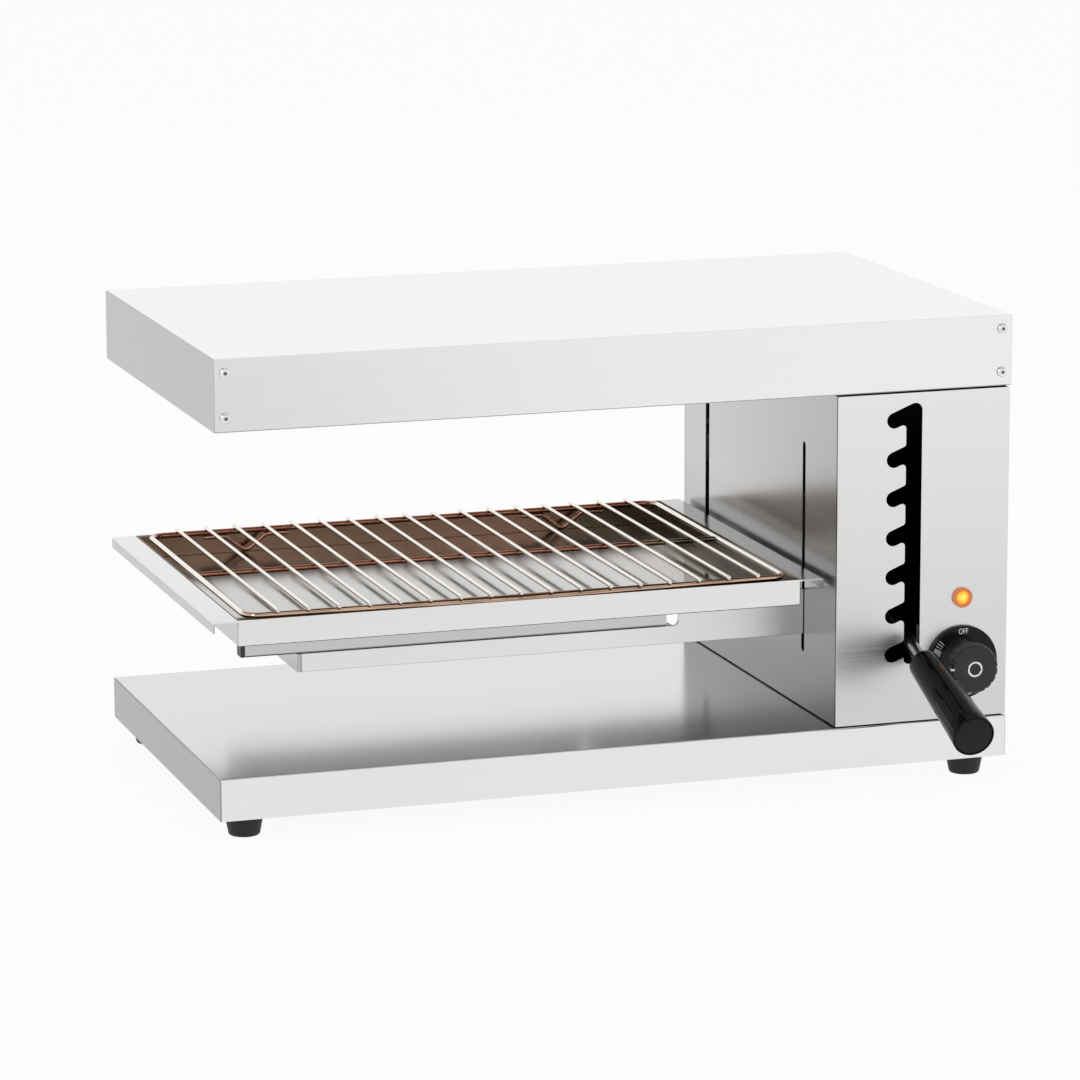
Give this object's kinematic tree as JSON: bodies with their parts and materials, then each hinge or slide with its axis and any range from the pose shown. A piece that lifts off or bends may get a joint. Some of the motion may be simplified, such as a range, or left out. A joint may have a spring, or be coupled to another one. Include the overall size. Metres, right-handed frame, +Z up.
{
  "type": "cheese melter",
  "caption": "Open-sided salamander grill: a lever that locks in a comb slot lifts a drip pan with a wire rack towards heaters under a flat hood.",
  "frame": {"origin": "on the table, under the centre of the whole outline with the handle at rest", "axes": "+X to the right as seen from the front, +Y to the back, +Z up"},
  "size_m": [0.6006, 0.4733, 0.3475],
  "materials": {
    "sheet": "brushed stainless sheet, grain along the length",
    "panel": "brushed stainless front panels",
    "column_side": "smooth, near mirror stainless sheet",
    "inner_sheet": "plain mill finish stainless or galvanised sheet",
    "reflector": "polished reflector sheet",
    "heater": "oxidised stainless heater tube, dull red-brown",
    "ceramic": "off-white ceramic and moulded insulating bodies",
    "rod": "ground steel rod",
    "block": "machined or pressed steel",
    "bronze": "plain bearing bronze",
    "fastener": "stainless screws and nuts",
    "rubber": "black rubber, fine matt",
    "arm": "brushed stainless sheet arms",
    "pan": "bright stainless pan with a warm heat tint inside",
    "runner": "square stainless tube",
    "cap": "black moulded end caps",
    "wire": "chromed wire",
    "handle_rod": "plated round rod, slightly dull",
    "grip": "black glossy thermoset plastic",
    "grip_cap": "black satin end cap",
    "dial": "black dial with white marks",
    "knob": "black satin knob",
    "bright_ring": "thin bright ring",
    "lamp_ring": "translucent orange ring",
    "lamp_lens": "lit amber lens",
    "dark_plastic": "black moulded plastic"
  },
  "bodies": {
    "root": {"base_cover": "sheet", "base_plate": "inner_sheet", "foot_front_left": "rubber", "foot_front_right": "rubber", "foot_rear_left": "rubber", "foot_rear_right": "rubber", "foot_screws": "fastener", "column_front": "panel", "column_left": "column_side", "column_right": "sheet", "column_back": "sheet", "column_screws": "fastener", "side_screws": "fastener", "hood_cover": "sheet", "hood_front": "panel", "hood_floor": "inner_sheet", "fascia_screws": "fastener", "reflector": "reflector", "heater_front": "heater", "heater_middle": "heater", "heater_rear": "heater", "heater_supports": "inner_sheet", "heater_terminals": "ceramic", "guide_rods": "rod", "guide_blocks": "block", "stop_sleeves": "rubber", "pivot_bracket": "block", "bracket_screws": "fastener", "pivot_pin": "rod", "regulator": "ceramic", "lamp_bezel": "lamp_ring", "lamp_lens": "lamp_lens", "lamp_body": "dark_plastic", "terminal_block": "ceramic", "cable_gland": "dark_plastic"},
    "carriage": {"carriage_plate": "inner_sheet", "bearing_front": "bronze", "bearing_rear": "bronze", "arm_front": "arm", "arm_rear": "arm", "arm_end": "arm"},
    "pan": {"pan": "pan", "runner_front": "runner", "runner_rear": "runner", "runner_caps": "cap"},
    "rack": {"rack_frame": "wire", "rack_bar": "wire", "rack_cross_wires": "wire", "rack_feet": "wire"},
    "lever": {"lever_plate": "block", "drive_pin": "rod", "king_pin": "rod"},
    "handle": {"lever_rod": "handle_rod", "grip": "grip", "grip_cap": "grip_cap"},
    "knob": {"knob_shaft": "rod", "knob_dial": "dial", "knob_grip": "knob", "knob_ring": "bright_ring"}
  },
  "joints": [
    {"name": "lever_swing", "type": "hinge", "parent": "root", "child": "lever", "pos_m": [0.23407, 0.21194, 0.19825], "axis": [-1, 0, 0], "range_deg": [0, 31.04]},
    {"name": "carriage_lift", "type": "slide", "parent": "root", "child": "carriage", "axis": [0, 0, 1], "range_m": [0, 0.1083]},
    {"name": "lever_latch", "type": "hinge", "parent": "lever", "child": "handle", "pos_m": [0.23407, 0.187, 0.19091], "axis": [-0.368, -0.2625, 0.892], "range_deg": [-3.07, 0]},
    {"name": "pan_slide", "type": "slide", "parent": "carriage", "child": "pan", "axis": [-1, 0, 0], "range_m": [0, 0.2]},
    {"name": "rack_lift", "type": "slide", "parent": "pan", "child": "rack", "axis": [0, 0, 1], "range_m": [0, 0.018]},
    {"name": "knob_turn", "type": "hinge", "parent": "root", "child": "knob", "pos_m": [0.2633, -0.10306, 0.0905], "axis": [0, 1, 0], "range_deg": [0, 270]}
  ],
  "couplings": [
    {"joint": "carriage_lift", "follows": "lever_swing", "m_per_rad": 0.19952}
  ]
}
